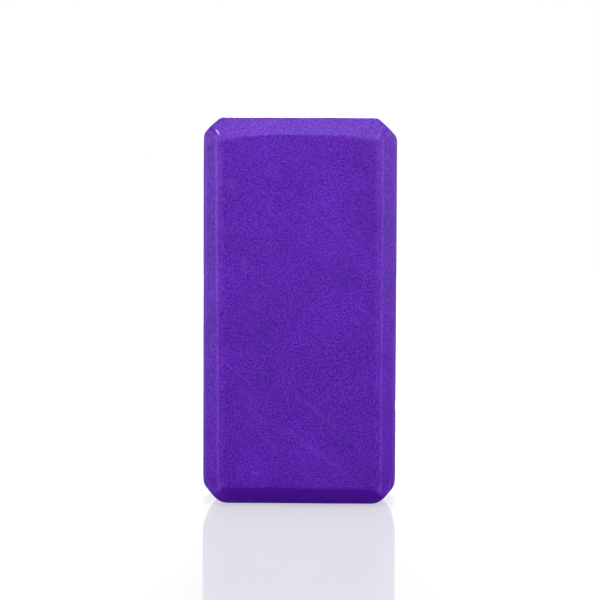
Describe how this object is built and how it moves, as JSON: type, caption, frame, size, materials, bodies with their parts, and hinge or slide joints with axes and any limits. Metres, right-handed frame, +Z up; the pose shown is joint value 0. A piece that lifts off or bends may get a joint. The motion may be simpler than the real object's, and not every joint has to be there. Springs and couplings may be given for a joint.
{
  "type": "yoga block",
  "caption": "Firm rectangular foam block with bevelled, softened edges, used to prop or support the body in yoga, lying flat, on its side or on end.",
  "frame": {"origin": "middle of the small end that the block stands on", "axes": "+Z up along the length, +X across the broad faces, +Y through the thickness from the front broad face to the back one"},
  "size_m": [0.11, 0.07, 0.22],
  "materials": {
    "violet_foam": "matte"
  },
  "bodies": {
    "root": {"foam_block": "violet_foam"}
  },
  "joints": []
}
